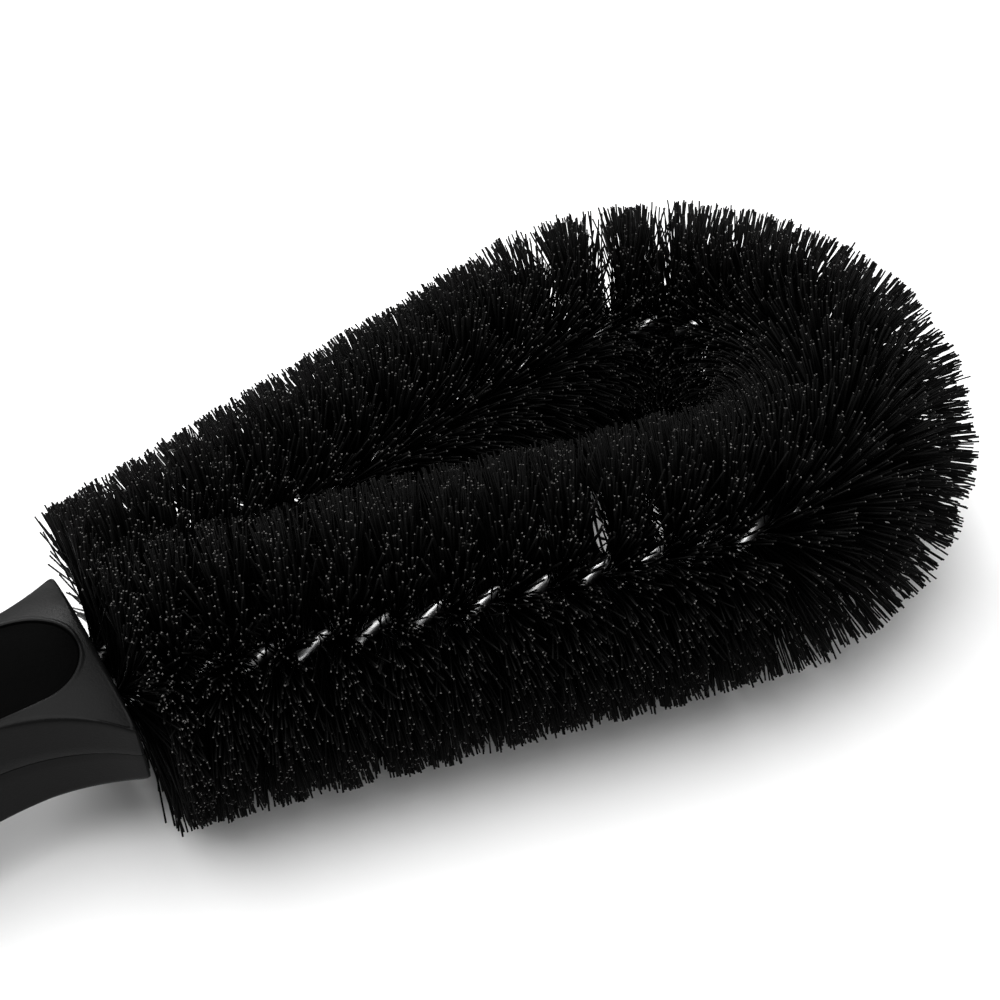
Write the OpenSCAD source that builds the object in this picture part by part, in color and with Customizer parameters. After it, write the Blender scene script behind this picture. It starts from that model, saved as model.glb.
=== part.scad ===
// Looped wheel brush: one twisted-wire loop full of filaments, held in a two-shell handle.
// Millimetres. X runs from the handle to the nose of the loop, Z is up, Y is across the loop.
// The brush lies level on its bristles, with the middle of its box over the origin.

/* [Whole brush] */
// from the front face of the handle to the tips at the nose
head_l = 170; // [142:1:210]
// across the bristles, tip to tip
bristle_d = 50; // [41:1:61]
// between the two wire cores where the loop is widest
loop_w = 65; // [54:1:80]
// from the front face of the handle to its tail
handle_l = 150; // [124:1:184]

/* [Twisted wire] */
// thickness of one strand
wire_d = 2.4; // [1.8:0.1:3]
// space the filaments take between the two strands
strand_gap = 0.4; // [0.2:0.1:0.8]
// length of one full turn of the twist
twist_pitch = 19.4; // [15:0.1:26]
// between the two wire cores at the front face of the handle
neck_w = 11; // [9.5:0.1:14]
// bend radius of each wire just inside the handle
neck_bend = 40; // [20:1:60]

/* [Handle outline] */
// width of the flared front
flare_w = 43; // [36:1:52]
// width of the waist behind the flare
waist_w = 24; // [22:1:30]
// how far the waist sits behind the front face
waist_pos = 23; // [18:1:30]
// width of the grip at its fullest
grip_w = 32; // [28:1:40]
// thickness of the grip at its fullest
grip_h = 26; // [23:1:34]
// thickness of the handle at its front face
flare_h = 19; // [17:1:24]
// how far the widest part sits behind the front face
swell_pos = 82; // [68:1:98]
// how far the thickest part sits behind the front face
crown_pos = 62; // [51:1:75]
// radius of the crown across the handle
crown_r = 60; // [45:1:90]
// wall of the two shells
wall = 3; // [2.4:0.1:4]

/* [Soft pads] */
// width of the pads at their fullest
pad_w = 25; // [20:0.5:27]
// radius of the rounded pad ends
pad_end_r = 9.8; // [7:0.1:11]
// bare shell in front of the pads
pad_front = 2.4; // [1.6:0.1:6]
// bare shell behind the pads
pad_back = 34; // [24:1:50]
// depth of the pocket each pad sits in
pad_pocket = 1.6; // [1.2:0.1:2]
// how far the pad stays below the edge of its pocket
pad_lip = 0.35; // [0:0.05:0.6]

/* [Wire anchor] */
// length of the ferrule crimped on each wire end
ferrule_l = 24; // [16:1:30]
// wall of the ferrule
ferrule_wall = 0.7; // [0.5:0.1:1.2]
// height of the anchor block
anchor_h = 11.4; // [10:0.1:14]
// width of the anchor block
anchor_w = 17.8; // [16:0.1:20]

/* [Hang hole and screws] */
// width of the hang hole
hang_d = 7; // [5:0.5:9]
// thread of the shell screws
screw_d = 3; // [2.5:0.5:3.5]

/* [Hidden] */
$fn = 96;

// small clearances
touch = 0.05;
part_gap = 0.1;
over = 1;

// loop of the wire core, measured from the front face of the handle
bristle_r = bristle_d / 2;
loop_r = max(loop_w / 2, bristle_r + 1.5);
loop_x = head_l - bristle_r - loop_r;
neck_y = neck_w / 2;
neck_reach = norm([loop_x, neck_y]);
spread = asin(loop_r / neck_reach) - atan2(neck_y, loop_x);
limb_l = sqrt(neck_reach * neck_reach - loop_r * loop_r);
bend_l = neck_bend * spread * PI / 180;
bend_x = neck_bend * sin(spread);
tail_y = neck_y - neck_bend * (1 - cos(spread));
nose_l = loop_r * (90 + spread) * PI / 180;

// wire
wire_r = wire_d / 2;
strand_off = wire_r + strand_gap / 2;
core_r = strand_off + wire_r;
bore_r = core_r + part_gap;
twist_start = 155;
ring_sides = 8;
ring_step = 2;

// bristle stretches
bristle_start = 0.3;
neck_share = 0.48;
nose_half = 36;

// ferrules and anchor, x positions counted back from the front face
anchor_front = bend_x + 0.6;
ferrule_front = anchor_front + 2;
ferrule_back = ferrule_front + ferrule_l;
flange_l = 2;
anchor_back = ferrule_back - flange_l;
ferrule_r = bore_r + ferrule_wall;
flange_r = min(ferrule_r + 0.6, tail_y - 0.2);
wire_end = ferrule_back - 0.3;
tail_l = wire_end - bend_x;
plate_l = 2.4;
plate_front = ferrule_back + touch;
plate_back = plate_front + plate_l;
half_l = tail_l + bend_l + limb_l + nose_l;
ring_count = ceil(2 * half_l / ring_step);

// handle outline: concave waist arcs, long convex grip arcs, round tail
flare_dy = (flare_w - waist_w) / 2;
flare_r = (waist_pos * waist_pos + flare_dy * flare_dy) / (2 * flare_dy);
swell_dx = swell_pos - waist_pos;
swell_dy = (grip_w - waist_w) / 2;
swell_a = flare_r - swell_dy;
swell_r = (swell_dx * swell_dx + swell_a * swell_a - flare_r * flare_r) / (2 * swell_dy);
join_x = waist_pos + flare_r * swell_dx / (flare_r + swell_r);
rear_dx = handle_l - swell_pos;
grip_r = grip_w / 2;
swell_cy = swell_r - grip_r;
end_r = (swell_r * swell_r - swell_cy * swell_cy - rear_dx * rear_dx) / (2 * (swell_r - rear_dx));
end_x = handle_l - end_r;
tail_turn = 90 + asin((end_x - swell_pos) / (swell_r - end_r));

// crown of the top and bottom faces
crown_dz = (grip_h - flare_h) / 2;
crown_len = (crown_pos * crown_pos + crown_dz * crown_dz) / (2 * crown_dz);
crown_turn = 2 * asin(1.3 * handle_l / crown_len);

// pads
pad_len = handle_l - pad_front - pad_back;
pad_mid = pad_front + pad_len / 2;
pad_half = pad_len / 2 - pad_end_r;
pad_g = pad_w / 2;
pad_r = (pad_half * pad_half + pad_g * pad_g - pad_end_r * pad_end_r) / (2 * (pad_g - pad_end_r));
pad_turn = 90 - asin(pad_half / (pad_r - pad_end_r));

// shells
front_wall = 3.4;
rib = 2;
seat_z = anchor_h / 2 + touch;
stop_front = plate_back + touch;
boss_r = screw_d / 2 + 1.9;
side_screw_x = 7;
side_screw_y = 12.6;
mid_screws = [56, 104];
head_r = screw_d / 2 + 1.3;
head_h = 1.4;
screw_hole_r = screw_d / 2 + 0.15;
pilot_r = screw_d / 2 + touch;
screw_l = 13;
screw_tip = 1.2;
// [distance behind the front face, sideways, head below the middle plane]
screw_spots = concat(
  [for (x = mid_screws) [x, 0, crown_z(x) - pad_pocket - head_h - 0.8]],
  [for (side = [-1, 1])
    [side_screw_x, side * side_screw_y, face_z(side_screw_x, side_screw_y) - 0.9]]);

// hang eyelet
hang_r = hang_d / 2;
eyelet_wall = 1.1;
eyelet_flange = 1;
eyelet_r = hang_r + eyelet_wall;
eyelet_rim = eyelet_r + 1.9;
eyelet_seat = crown_z(end_x) - 0.6;
eyelet_top = eyelet_seat + eyelet_flange;
tail_boss_r = eyelet_r + 2.2;

// half height of the handle on its centre line, x counted back from the front face
function crown_z(x) =
  grip_h / 2 - crown_len + sqrt(crown_len * crown_len - (x - crown_pos) * (x - crown_pos));

// half height of the handle away from its centre line
function face_z(x, y) = crown_z(x) - crown_r + sqrt(crown_r * crown_r - y * y);

// points on an arc about a centre
function arc(cx, cy, r, a0, a1, n) = [for (i = [0 : n]) let (a = a0 + (a1 - a0) * i / n)
  [cx + r * cos(a), cy + r * sin(a)]];

// left edge of the handle outline from the front face to the tail, drawn in by the given amount
function outline_side(inset) = concat(
  arc(-waist_pos, waist_w / 2 + flare_r, flare_r + inset,
    asin(waist_pos / (flare_r + inset)) - 90, -90 - asin((join_x - waist_pos) / flare_r), 14),
  arc(-swell_pos, -swell_cy, swell_r - inset,
    90 - asin((swell_pos - join_x) / swell_r) + 1, tail_turn, 24),
  arc(-end_x, 0, end_r - inset, tail_turn + 8, 180, 9));

// left edge of a pad outline about its own middle
function pad_side(grow) = concat(
  arc(pad_half, 0, pad_end_r + grow, 0, pad_turn - 7, 8),
  arc(0, pad_g - pad_r, pad_r + grow, pad_turn, 180 - pad_turn, 12),
  arc(-pad_half, 0, pad_end_r + grow, 187 - pad_turn, 180, 8));

// close an edge with its mirror image
function both_sides(side) = concat(side, [for (i = [len(side) - 1 : -1 : 0]) if (side[i][1] > 0.001)
  [side[i][0], -side[i][1]]]);

// core line of one half of the loop: [x, y, heading], u counted from the wire end
function core_tail(u) = [u - tail_l - bend_x, tail_y, 0];
function core_bend(u) = let (a = u / neck_bend * 180 / PI)
  [neck_bend * sin(a) - bend_x, tail_y + neck_bend * (1 - cos(a)), a];
function core_limb(u) = [u * cos(spread), neck_y + u * sin(spread), spread];
function core_nose(u) = let (a = 90 + spread - u / loop_r * 180 / PI)
  [loop_x + loop_r * cos(a), loop_r * sin(a), a - 90];
function core_half(u) =
  u < tail_l ? core_tail(u) :
  u < tail_l + bend_l ? core_bend(u - tail_l) :
  u < tail_l + bend_l + limb_l ? core_limb(u - tail_l - bend_l) :
  core_nose(u - tail_l - bend_l - limb_l);
function core_at(s) =
  s <= half_l ? core_half(s) :
  let (c = core_half(2 * half_l - s)) [c[0], -c[1], 180 - c[2]];

// one ring of a strand: the strand turns left-handed about the core line
function strand_ring(s, start) =
  let (
    c = core_at(s),
    turn = start - 360 * s / twist_pitch,
    along = [cos(c[2]), sin(c[2]), 0],
    side = [-sin(c[2]), cos(c[2]), 0],
    up = [0, 0, 1],
    out = side * cos(turn) + up * sin(turn),
    roll = -2 * PI * strand_off / twist_pitch,
    dir0 = along + roll * (up * cos(turn) - side * sin(turn)),
    dir = dir0 / norm(dir0),
    flank = cross(dir, out),
    mid = [c[0], c[1], 0] + strand_off * out
  )
  [for (k = [0 : ring_sides - 1])
    mid + wire_r * (out * cos(360 * k / ring_sides) + flank * sin(360 * k / ring_sides))];

// everything is drawn about the front face of the handle and set in place here
module placed() {
  translate([(handle_l - head_l) / 2, 0, bristle_r]) children();
}

module strand(start) {
  rings = [for (i = [0 : ring_count]) strand_ring(2 * half_l * i / ring_count, start)];
  points = [for (ring = rings) each ring];
  last = ring_count * ring_sides;
  sides = [for (i = [0 : ring_count - 1], k = [0 : ring_sides - 1])
    let (
      a = i * ring_sides + k,
      b = i * ring_sides + (k + 1) % ring_sides,
      c = a + ring_sides,
      d = b + ring_sides
    )
    each [[a, c, b], [b, c, d]]];
  first_cap = [for (k = [1 : ring_sides - 2]) [0, k, k + 1]];
  last_cap = [for (k = [1 : ring_sides - 2]) [last, last + k + 1, last + k]];
  polyhedron(points = points, faces = concat(sides, first_cap, last_cap), convexity = 10);
}

// a round stretch along one straight limb, from u0 to u1, kept to its own side of the loop
module limb_stretch(side, u0, u1) {
  difference() {
    translate([0, side * neck_y, 0])
      rotate([0, 0, side * spread])
        translate([u0, 0, 0])
          rotate([0, 90, 0])
            difference() {
              cylinder(r = bristle_r, h = u1 - u0);
              translate([0, 0, -over]) cylinder(r = bore_r, h = u1 - u0 + 2 * over);
            }
    // the two limbs meet on the middle plane
    translate([-head_l, side > 0 ? -head_l : 0, -head_l])
      cube([3 * head_l, head_l, 2 * head_l]);
    // flat against the handle
    translate([bristle_start - head_l, -head_l, -head_l])
      cube([head_l, 2 * head_l, 2 * head_l]);
  }
}

// a round stretch along the bent nose, between two angles
module nose_stretch(a0, a1) {
  translate([loop_x, 0, 0])
    rotate([0, 0, a0])
      rotate_extrude(angle = a1 - a0)
        translate([loop_r, 0])
          difference() {
            circle(r = bristle_r);
            circle(r = bore_r);
          }
}

// upright prism on the outline of the handle, drawn in by the given amount
module outline(inset, z0, z1) {
  translate([0, 0, z0])
    linear_extrude(height = z1 - z0)
      polygon(both_sides(outline_side(inset)));
}

// body under the crowned top face, lowered by the given amount
module crowned(drop) {
  translate([-crown_pos, 0, grip_h / 2 - crown_len])
    rotate([0, -90, 0])
      rotate([90, 0, 0])
        rotate([0, 0, -crown_turn / 2])
          rotate_extrude(angle = crown_turn, $fn = 1440)
            translate([crown_len - crown_r, 0])
              circle(r = crown_r - drop);
}

// upright prism on the outline of a pad
module pad_outline(grow, z0, z1) {
  translate([-pad_mid, 0, z0])
    linear_extrude(height = z1 - z0)
      polygon(both_sides(pad_side(grow)));
}

module pad() {
  intersection() {
    pad_outline(0, 0, grip_h);
    difference() {
      crowned(pad_lip);
      crowned(pad_pocket - touch);
    }
  }
}

// holes for the two wires through the front wall
module wire_ways() {
  for (side = [-1, 1])
    translate([over, side * (neck_y + over * tan(spread)), 0])
      rotate([0, -90, side * spread])
        cylinder(r = bore_r + 0.4, h = front_wall + 3 * over);
}

// upper half of the hollow body, with its ribs and its pad pocket
module half_shell() {
  difference() {
    intersection() {
      outline(0, 0, grip_h);
      crowned(0);
    }
    // hollow, less the ribs, the bosses and the solid tail
    difference() {
      intersection() {
        outline(wall, -over, grip_h);
        crowned(wall);
        translate([-end_x + eyelet_rim, -grip_w, -over])
          cube([end_x - eyelet_rim - front_wall, 2 * grip_w, grip_h]);
      }
      for (x = [anchor_front + 1, anchor_back - 1 - rib])
        translate([-x - rib, -flare_w, seat_z])
          cube([rib, 2 * flare_w, grip_h]);
      translate([-stop_front - rib, -flare_w, 0])
        cube([rib, 2 * flare_w, grip_h]);
      for (spot = screw_spots)
        translate([-spot[0], spot[1], 0]) cylinder(r = boss_r, h = grip_h);
    }
    // pad pocket
    difference() {
      pad_outline(touch, 0, grip_h);
      crowned(pad_pocket);
    }
    wire_ways();
    // hang hole with a flat seat for the eyelet
    translate([-end_x, 0, -over]) cylinder(r = eyelet_r + touch, h = grip_h);
    translate([-end_x, 0, eyelet_seat]) cylinder(r = eyelet_rim + 0.2, h = grip_h);
  }
}

module upper_shell() {
  color([0.13, 0.13, 0.14])
    placed()
      difference() {
        half_shell();
        for (spot = screw_spots)
          translate([-spot[0], spot[1], -over])
            cylinder(r = pilot_r, h = screw_l - spot[2] + screw_tip + over);
      }
}

module lower_shell() {
  color([0.12, 0.12, 0.13])
    placed()
      difference() {
        mirror([0, 0, 1]) half_shell();
        for (spot = screw_spots)
          translate([-spot[0], spot[1], 0]) screw_way(spot[2]);
      }
}

// clearance hole and countersink, head z counted down from the middle plane
module screw_way(head_z) {
  translate([0, 0, -grip_h]) cylinder(r = screw_hole_r, h = grip_h + over);
  translate([0, 0, -head_z]) cylinder(r1 = head_r + 0.1, r2 = screw_hole_r, h = head_h);
  translate([0, 0, -grip_h]) cylinder(r = head_r + 0.1, h = grip_h - head_z);
}

module screw(head_z) {
  translate([0, 0, -head_z])
    difference() {
      union() {
        cylinder(r = screw_d / 2, h = screw_l - screw_tip);
        cylinder(r1 = head_r, r2 = screw_d / 2, h = head_h);
        translate([0, 0, screw_l - screw_tip]) cylinder(r1 = screw_d / 2, r2 = 0.4, h = screw_tip);
      }
      // cross slot
      for (a = [0, 90])
        rotate([0, 0, a])
          translate([-head_r * 0.6, -0.35, -over]) cube([head_r * 1.2, 0.7, over + 0.8]);
    }
}

module shell_screws() {
  color([0.62, 0.63, 0.65])
    placed() {
      for (spot = screw_spots)
        translate([-spot[0], spot[1], 0]) screw(spot[2]);
    }
}

module thumb_pad() {
  color([0.05, 0.05, 0.055]) placed() pad();
}

module palm_pad() {
  color([0.05, 0.05, 0.055]) placed() mirror([0, 0, 1]) pad();
}

module hang_eyelet() {
  color([0.55, 0.56, 0.58])
    placed()
      translate([-end_x, 0, 0])
        difference() {
          union() {
            translate([0, 0, -eyelet_top]) cylinder(r = eyelet_r, h = 2 * eyelet_top);
            translate([0, 0, eyelet_seat]) cylinder(r = eyelet_rim, h = eyelet_flange);
            translate([0, 0, -eyelet_top]) cylinder(r = eyelet_rim, h = eyelet_flange);
          }
          translate([0, 0, -grip_h]) cylinder(r = hang_r, h = 2 * grip_h);
        }
}

// crimped sleeve with a collar at its back end
module ferrule(side) {
  translate([-ferrule_back, side * tail_y, 0])
    rotate([0, 90, 0])
      difference() {
        union() {
          cylinder(r = ferrule_r, h = ferrule_l);
          cylinder(r = flange_r, h = flange_l);
        }
        translate([0, 0, -over]) cylinder(r = bore_r, h = ferrule_l + 2 * over);
      }
}

module ferrule_left() {
  color([0.7, 0.7, 0.72]) placed() ferrule(1);
}

module ferrule_right() {
  color([0.7, 0.7, 0.72]) placed() ferrule(-1);
}

module anchor_block() {
  color([0.3, 0.3, 0.32])
    placed()
      difference() {
        translate([-anchor_back, -anchor_w / 2, -anchor_h / 2])
          cube([anchor_back - anchor_front, anchor_w, anchor_h]);
        for (side = [-1, 1])
          translate([-anchor_back - over, side * tail_y, 0])
            rotate([0, 90, 0])
              cylinder(r = ferrule_r + touch, h = anchor_back - anchor_front + 2 * over);
      }
}

module lock_plate() {
  color([0.34, 0.34, 0.36])
    placed()
      translate([-plate_back, -anchor_w / 2, -anchor_h / 2])
        cube([plate_l, anchor_w, anchor_h]);
}

module wire_strand_a() {
  color([0.75, 0.76, 0.78]) placed() strand(twist_start);
}

module wire_strand_b() {
  color([0.72, 0.73, 0.75]) placed() strand(twist_start + 180);
}

module bristles_neck_left() {
  color([0.05, 0.05, 0.05]) placed() limb_stretch(1, -12, limb_l * neck_share);
}

module bristles_neck_right() {
  color([0.05, 0.05, 0.05]) placed() limb_stretch(-1, -12, limb_l * neck_share);
}

module bristles_limb_left() {
  color([0.06, 0.06, 0.06]) placed() limb_stretch(1, limb_l * neck_share, limb_l);
}

module bristles_limb_right() {
  color([0.06, 0.06, 0.06]) placed() limb_stretch(-1, limb_l * neck_share, limb_l);
}

module bristles_shoulder_left() {
  color([0.05, 0.05, 0.05]) placed() nose_stretch(nose_half, 90 + spread);
}

module bristles_shoulder_right() {
  color([0.05, 0.05, 0.05]) placed() nose_stretch(-90 - spread, -nose_half);
}

module bristles_nose() {
  color([0.06, 0.06, 0.06]) placed() nose_stretch(-nose_half, nose_half);
}

wire_strand_a();
wire_strand_b();
bristles_neck_left();
bristles_limb_left();
bristles_shoulder_left();
bristles_nose();
bristles_shoulder_right();
bristles_limb_right();
bristles_neck_right();
ferrule_left();
ferrule_right();
anchor_block();
lock_plate();
upper_shell();
lower_shell();
thumb_pad();
palm_pad();
hang_eyelet();
shell_screws();
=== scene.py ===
"""Looped wheel brush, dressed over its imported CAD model.

A loop of twisted wire holds the filaments and ends in a two-shell handle with soft pads.
Sizes are in millimetres, measured from the front face of the handle and the middle plane of
the loop. They are set in place in the row frame, in metres, when a mesh is made.
"""

from __future__ import annotations

import logging
import math
from dataclasses import dataclass
from enum import Enum
from typing import Any, Iterable, Sequence

import bpy
import bmesh
import numpy as np
from mathutils import Euler, Matrix, Vector

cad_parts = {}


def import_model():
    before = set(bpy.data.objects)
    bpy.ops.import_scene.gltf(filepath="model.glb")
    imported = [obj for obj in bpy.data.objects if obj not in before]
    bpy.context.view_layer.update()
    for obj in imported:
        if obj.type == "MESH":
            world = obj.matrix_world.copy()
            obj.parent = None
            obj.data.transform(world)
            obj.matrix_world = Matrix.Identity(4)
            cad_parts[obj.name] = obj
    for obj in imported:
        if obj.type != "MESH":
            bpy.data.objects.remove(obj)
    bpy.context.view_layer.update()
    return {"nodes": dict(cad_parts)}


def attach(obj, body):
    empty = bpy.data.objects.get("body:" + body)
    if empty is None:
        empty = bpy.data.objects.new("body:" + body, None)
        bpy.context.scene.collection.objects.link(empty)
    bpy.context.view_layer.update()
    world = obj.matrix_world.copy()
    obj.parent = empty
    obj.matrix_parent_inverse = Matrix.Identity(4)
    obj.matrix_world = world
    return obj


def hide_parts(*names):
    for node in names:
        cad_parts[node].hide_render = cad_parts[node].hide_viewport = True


MM = 0.001
PLACE = np.array([-10.0, 0.0, 25.0])
BODY = "root"
BAKE_MAP = "OFBake"
WEAR = "wear"
# the floor lies this far under the brush and filaments end this far over it, in metres
FLOOR_GAP = 0.0003
# points nearer than this are one point, and faces thinner than this go, in metres
SAME_POINT = 1e-6
THIN_FACE = 1e-7
# edges sharper than this stay crisp, in degrees
MOULDED_SHARP = 35.0
CUT_SHARP = 32.0
WIRE_SHARP = 50.0
# the strip of the bake map that faces made by a cut share
CUT_BAND = (0.95, 0.99)

log = logging.getLogger("wheel_brush")


# --- Node trees ---


class Value:
    """One value in a node tree, with arithmetic that adds Math nodes."""

    def __init__(self, kit: NodeKit, socket: bpy.types.NodeSocket) -> None:
        """Wrap a socket.

        Args:
            kit: The tree the socket belongs to.
            socket: The output socket to read.
        """
        self.kit = kit
        self.socket = socket

    def __add__(self, other: Value | float) -> Value:
        """Add a value."""
        return self.kit.math("ADD", self, other)

    def __radd__(self, other: float) -> Value:
        """Add to a number."""
        return self.kit.math("ADD", other, self)

    def __sub__(self, other: Value | float) -> Value:
        """Subtract a value."""
        return self.kit.math("SUBTRACT", self, other)

    def __rsub__(self, other: float) -> Value:
        """Subtract from a number."""
        return self.kit.math("SUBTRACT", other, self)

    def __mul__(self, other: Value | float) -> Value:
        """Multiply by a value."""
        return self.kit.math("MULTIPLY", self, other)

    def __rmul__(self, other: float) -> Value:
        """Multiply a number."""
        return self.kit.math("MULTIPLY", other, self)

    def __truediv__(self, other: Value | float) -> Value:
        """Divide by a value."""
        return self.kit.math("DIVIDE", self, other)

    def __rtruediv__(self, other: float) -> Value:
        """Divide a number."""
        return self.kit.math("DIVIDE", other, self)

    def __pow__(self, other: Value | float) -> Value:
        """Raise to a power."""
        return self.kit.math("POWER", self, other)

    def __mod__(self, other: Value | float) -> Value:
        """Take the remainder."""
        return self.kit.math("MODULO", self, other)

    def __gt__(self, other: Value | float) -> Value:
        """Give 1 where this is greater."""
        return self.kit.math("GREATER_THAN", self, other)


class NodeKit:
    """Adds and links the nodes of one tree."""

    def __init__(self, tree: bpy.types.NodeTree) -> None:
        """Start on a shader or geometry node tree."""
        self.tree = tree

    @staticmethod
    def _pick(sockets: Iterable[bpy.types.NodeSocket], key: str | int) -> bpy.types.NodeSocket:
        """Find a socket.

        Args:
            sockets: The sockets to look through.
            key: Its place, or its name among those in use, with underscores for spaces.

        Returns:
            The socket.
        """
        if isinstance(key, int):
            return list(sockets)[key]
        return next(s for s in sockets if s.name == key.replace("_", " ") and s.enabled)

    def node(
        self, kind: str, settings: dict[str, Any] | None = None, *placed: Any, **named: Any
    ) -> bpy.types.Node:
        """Add a node.

        Args:
            kind: The node's type.
            settings: Its settings, set first.
            placed: Values or links for its first inputs, in order.
            named: Values or links for inputs by name, with underscores for spaces.

        Returns:
            The new node.
        """
        new = self.tree.nodes.new(kind)
        for name, value in (settings or {}).items():
            setattr(new, name, value)
        for key, value in [*enumerate(placed), *named.items()]:
            socket = self._pick(new.inputs, key)
            if isinstance(value, Value):
                self.tree.links.new(value.socket, socket)
            else:
                socket.default_value = value
        return new

    def out(
        self,
        kind: str,
        output: str | int = 0,
        settings: dict[str, Any] | None = None,
        *placed: Any,
        **named: Any,
    ) -> Value:
        """Add a node and take one of its outputs."""
        return Value(self, self._pick(self.node(kind, settings, *placed, **named).outputs, output))

    def math(self, operation: str, *values: Value | float) -> Value:
        """Add a Math node."""
        return self.out("ShaderNodeMath", 0, {"operation": operation}, *values)

    def vector(self, operation: str, *values: Value, output: str = "Vector", **named: Any) -> Value:
        """Add a Vector Math node."""
        return self.out("ShaderNodeVectorMath", output, {"operation": operation}, *values, **named)

    def add(self, first: Value, *others: Value) -> Value:
        """Add vectors up.

        Args:
            first: The first vector.
            others: The vectors to add to it.

        Returns:
            Their sum.
        """
        for other in others:
            first = self.vector("ADD", first, other)
        return first

    def scaled(self, vector: Value, factor: Value | float) -> Value:
        """Scale a vector."""
        return self.vector("SCALE", vector, Scale=factor)

    def unit(self, vector: Value) -> Value:
        """A vector's direction."""
        return self.vector("NORMALIZE", vector)

    def length(self, vector: Value) -> Value:
        """Length of a vector."""
        return self.vector("LENGTH", vector, output="Value")

    def parts(self, vector: Value) -> list[Value]:
        """The X, Y and Z of a vector."""
        split = self.node("ShaderNodeSeparateXYZ", None, vector)
        return [Value(self, split.outputs[axis]) for axis in "XYZ"]

    def join(self, x: Value | float = 0.0, y: Value | float = 0.0, z: Value | float = 0.0) -> Value:
        """A vector from its X, Y and Z."""
        return self.out("ShaderNodeCombineXYZ", 0, None, x, y, z)

    def mix(self, factor: Value | float, a: Any, b: Any) -> Value:
        """Mix two colours."""
        return self.out("ShaderNodeMix", "Result", {"data_type": "RGBA"}, Factor=factor, A=a, B=b)

    def noise(self, scale: float, detail: float) -> Value:
        """Noise over Object coordinates."""
        where = self.out("ShaderNodeTexCoord", "Object")
        return self.out("ShaderNodeTexNoise", "Fac", None, Vector=where, Scale=scale, Detail=detail)

    def wear(self) -> Value:
        """The mesh's wear, 1 where it is rubbed."""
        return self.out("ShaderNodeAttribute", "Fac", {"attribute_name": WEAR})

    def span(self, value: Value, low: float, high: float, start: float = 0.0, end: float = 1.0) -> Value:
        """Map low to high onto start to end, held at its ends."""
        return self.out(
            "ShaderNodeMapRange", "Result", {"clamp": True},
            Value=value, From_Min=low, From_Max=high, To_Min=start, To_Max=end,
        )

    def bump(self, height: Value, depth: float, strength: float) -> Value:
        """A normal bumped by a height."""
        return self.out(
            "ShaderNodeBump", "Normal", None, Height=height, Distance=depth, Strength=strength
        )


def rgba(r: float, g: float, b: float) -> tuple[float, float, float, float]:
    """An opaque colour."""
    return (r, g, b, 1.0)


def grey(level: float, warmth: float = 0.0) -> tuple[float, float, float, float]:
    """A grey, a little warmer or cooler."""
    return rgba(level * (1 + warmth), level, level * (1 - warmth))


# --- Finishes ---


class Slot(Enum):
    """The record's material slots."""

    WIRE = "galvanised_wire"
    FILAMENT = "filament"
    CRIMP = "crimp_steel"
    ANCHOR = "anchor_plastic"
    SHELL = "shell_plastic"
    GRIP = "soft_grip"
    EYELET = "eyelet_steel"
    SCREW = "screw_steel"


@dataclass(frozen=True)
class Finish:
    """A finish of one named material."""

    name: str

    def surface(self, kit: NodeKit) -> dict[str, Any]:
        """Values or links for the shader's inputs, by name."""
        raise NotImplementedError

    def build(self) -> bpy.types.Material:
        """Make the material.

        Returns:
            The material, with its shader linked up.
        """
        material = bpy.data.materials.new(self.name)
        material.use_nodes = True
        material.node_tree.nodes.clear()
        kit = NodeKit(material.node_tree)
        shader = kit.out("ShaderNodeBsdfPrincipled", "BSDF", None, **self.surface(kit))
        kit.node("ShaderNodeOutputMaterial", None, Surface=shader)
        return material


@dataclass(frozen=True)
class FilamentFinish(Finish):
    """Black filament, satin along its length, painted darker towards the root, with paler cut tips:
    partly stress-whitening, partly a painted highlight.
    """

    columns: int = 64
    tip_from: float = 0.95
    second_lot: float = 91.3

    def surface(self, kit: NodeKit) -> dict[str, Any]:
        """Painted shade darkens each filament towards its root; the cut tip is paler, partly from
        stress-whitening and partly a painted highlight. Two lots for each map column.

        Args:
            kit: The material\'s node kit.

        Returns:
            The inputs of its shader, by name.
        """
        u, v, _ = kit.parts(kit.out("ShaderNodeUVMap", "UV", {"uv_map": BAKE_MAP}))
        column = kit.math("FLOOR", u * self.columns)
        lot, lot2 = (
            kit.out("ShaderNodeTexWhiteNoise", "Value", {"noise_dimensions": "1D"}, W=w)
            for w in (column, column + self.second_lot)
        )
        body = kit.mix(lot, grey(0.0012, 0.02), grey(0.0045, 0.01))
        # painted shade: each filament darkens towards its root, deep in the bristle mass where shade
        # falls
        painted_root_shade = kit.mix(kit.span(v, 0.0, 0.9), grey(0.001), body)
        # pale cut tips: partly stress-whitened plastic, partly a painted highlight of tips catching the
        # light
        cut = kit.mix(kit.span(lot2, 0.35, 1.0), grey(0.008, 0.02), grey(0.14, 0.03))
        tip = v > self.tip_from
        return {
            "Base_Color": kit.mix(tip, painted_root_shade, cut),
            "Roughness": 0.36 + lot * 0.16 + tip * 0.2,
            "IOR": 1.49,
            "Specular_IOR_Level": 0.034,
        }


@dataclass(frozen=True)
class MetalFinish(Finish):
    """Drawn or pressed steel with a zinc coat."""

    bright: float = 0.66
    dull: float = 0.46
    rough: float = 0.25
    grain: float = 900.0

    def surface(self, kit: NodeKit) -> dict[str, Any]:
        """Cloudy zinc with a fine grain.

        Args:
            kit: The material\'s node kit.

        Returns:
            The inputs of its shader, by name.
        """
        cloud = kit.noise(260.0, 4.0)
        fine = kit.noise(self.grain, 2.0)
        spangle = kit.span(cloud, 0.35, 0.68)
        return {
            "Base_Color": kit.mix(spangle, grey(self.bright, -0.01), grey(self.dull, 0.01)),
            "Roughness": self.rough + spangle * 0.16 + fine * 0.06,
            "Metallic": 1.0,
            "Normal": kit.bump(fine + cloud, 0.00003, 0.15),
        }


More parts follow.
